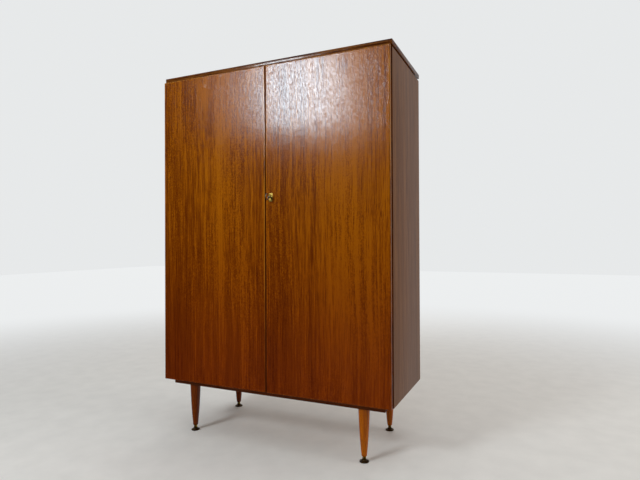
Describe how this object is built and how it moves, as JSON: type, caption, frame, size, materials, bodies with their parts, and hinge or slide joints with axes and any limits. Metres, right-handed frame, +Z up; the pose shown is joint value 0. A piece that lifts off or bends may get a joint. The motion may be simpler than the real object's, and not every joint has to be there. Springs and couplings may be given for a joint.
{
  "type": "two-door wardrobe",
  "caption": "Two-door wooden wardrobe with a slab top, recessed base rails, tapered round legs with levelling feet, a keyed lock, shelves and a hanging rail.",
  "frame": {"origin": "on the floor, at the centre of the whole outline with the doors closed and the key in its lock", "axes": "+Z up, doors face -Y, +X to the right as seen by someone facing the doors"},
  "size_m": [1.21, 0.558, 1.81],
  "materials": {
    "door_veneer": "straight ribbon-stripe veneer, satin-gloss lacquer",
    "side_veneer": "straight-grained veneer, satin lacquer",
    "top_veneer": "straight-grained veneer, satin lacquer",
    "dark_stain": "dark red-brown stain, satin",
    "leg_wood": "turned solid wood, orange-brown, satin-gloss lacquer",
    "inner_veneer": "light plain veneer, thin matt lacquer",
    "plywood": "raw thin plywood",
    "bronze": "dark bronze patina",
    "brass": "worn brass",
    "steel": "nickel-plated, worn",
    "magnet_housing": "ivory plastic"
  },
  "bodies": {
    "carcass": {"top_panel": "top_veneer", "top_spacer_front": "dark_stain", "top_spacer_rear": "dark_stain", "top_spacer_left": "dark_stain", "top_spacer_right": "dark_stain", "side_panel_left": "side_veneer", "side_panel_right": "side_veneer", "bottom_panel": "inner_veneer", "inner_top_board": "inner_veneer", "centre_divider": "inner_veneer", "back_panel": "plywood", "shelf_1": "inner_veneer", "shelf_1_cleat_left": "inner_veneer", "shelf_1_cleat_right": "inner_veneer", "shelf_2": "inner_veneer", "shelf_2_cleat_left": "inner_veneer", "shelf_2_cleat_right": "inner_veneer", "shelf_3": "inner_veneer", "shelf_3_cleat_left": "inner_veneer", "shelf_3_cleat_right": "inner_veneer", "hat_shelf": "inner_veneer", "hat_shelf_cleat_left": "inner_veneer", "hat_shelf_cleat_right": "inner_veneer", "clothes_rail": "steel", "rail_socket_left": "steel", "rail_socket_right": "steel", "base_rail_front": "dark_stain", "base_rail_rear": "dark_stain", "base_rail_left": "dark_stain", "base_rail_right": "dark_stain", "leg_front_left": "leg_wood", "leg_front_right": "leg_wood", "leg_rear_left": "leg_wood", "leg_rear_right": "leg_wood", "strike_plate": "brass", "magnetic_catch": "magnet_housing", "hinge_left_bottom_frame_leaf": "bronze", "hinge_left_middle_frame_leaf": "bronze", "hinge_left_top_frame_leaf": "bronze", "hinge_right_bottom_frame_leaf": "bronze", "hinge_right_middle_frame_leaf": "bronze", "hinge_right_top_frame_leaf": "bronze"},
    "door_left": {"door_left_panel": "door_veneer", "catch_plate": "steel", "hinge_left_bottom_door_leaf": "bronze", "hinge_left_middle_door_leaf": "bronze", "hinge_left_top_door_leaf": "bronze"},
    "door_right": {"door_right_panel": "door_veneer", "escutcheon": "brass", "lock_case": "steel", "hinge_right_bottom_door_leaf": "bronze", "hinge_right_middle_door_leaf": "bronze", "hinge_right_top_door_leaf": "bronze"},
    "key": {"key": "steel"},
    "lock_bolt": {"lock_bolt": "brass"},
    "foot_front_left": {"levelling_foot_front_left": "bronze"},
    "foot_front_right": {"levelling_foot_front_right": "bronze"},
    "foot_rear_left": {"levelling_foot_rear_left": "bronze"},
    "foot_rear_right": {"levelling_foot_rear_right": "bronze"}
  },
  "joints": [
    {"name": "door_left_hinge", "type": "hinge", "parent": "carcass", "child": "door_left", "pos_m": [-0.597, -0.2105, 1.023], "axis": [0, 0, -1], "range_deg": [0, 100]},
    {"name": "door_right_hinge", "type": "hinge", "parent": "carcass", "child": "door_right", "pos_m": [0.597, -0.2105, 1.023], "axis": [0, 0, 1], "range_deg": [0, 100]},
    {"name": "key_turn", "type": "hinge", "parent": "door_right", "child": "key", "pos_m": [0.0295, -0.231, 1.168], "axis": [0, -1, 0], "range_deg": [0, 360]},
    {"name": "bolt_throw", "type": "slide", "parent": "door_right", "child": "lock_bolt", "axis": [-1, 0, 0], "range_m": [0, 0.009]},
    {"name": "foot_front_left_screw", "type": "slide", "parent": "carcass", "child": "foot_front_left", "axis": [0, 0, -1], "range_m": [0, 0.01]},
    {"name": "foot_front_right_screw", "type": "slide", "parent": "carcass", "child": "foot_front_right", "axis": [0, 0, -1], "range_m": [0, 0.01]},
    {"name": "foot_rear_left_screw", "type": "slide", "parent": "carcass", "child": "foot_rear_left", "axis": [0, 0, -1], "range_m": [0, 0.01]},
    {"name": "foot_rear_right_screw", "type": "slide", "parent": "carcass", "child": "foot_rear_right", "axis": [0, 0, -1], "range_m": [0, 0.01]}
  ],
  "couplings": [
    {"joint": "bolt_throw", "follows": "key_turn", "m_per_rad": 0.001432}
  ]
}
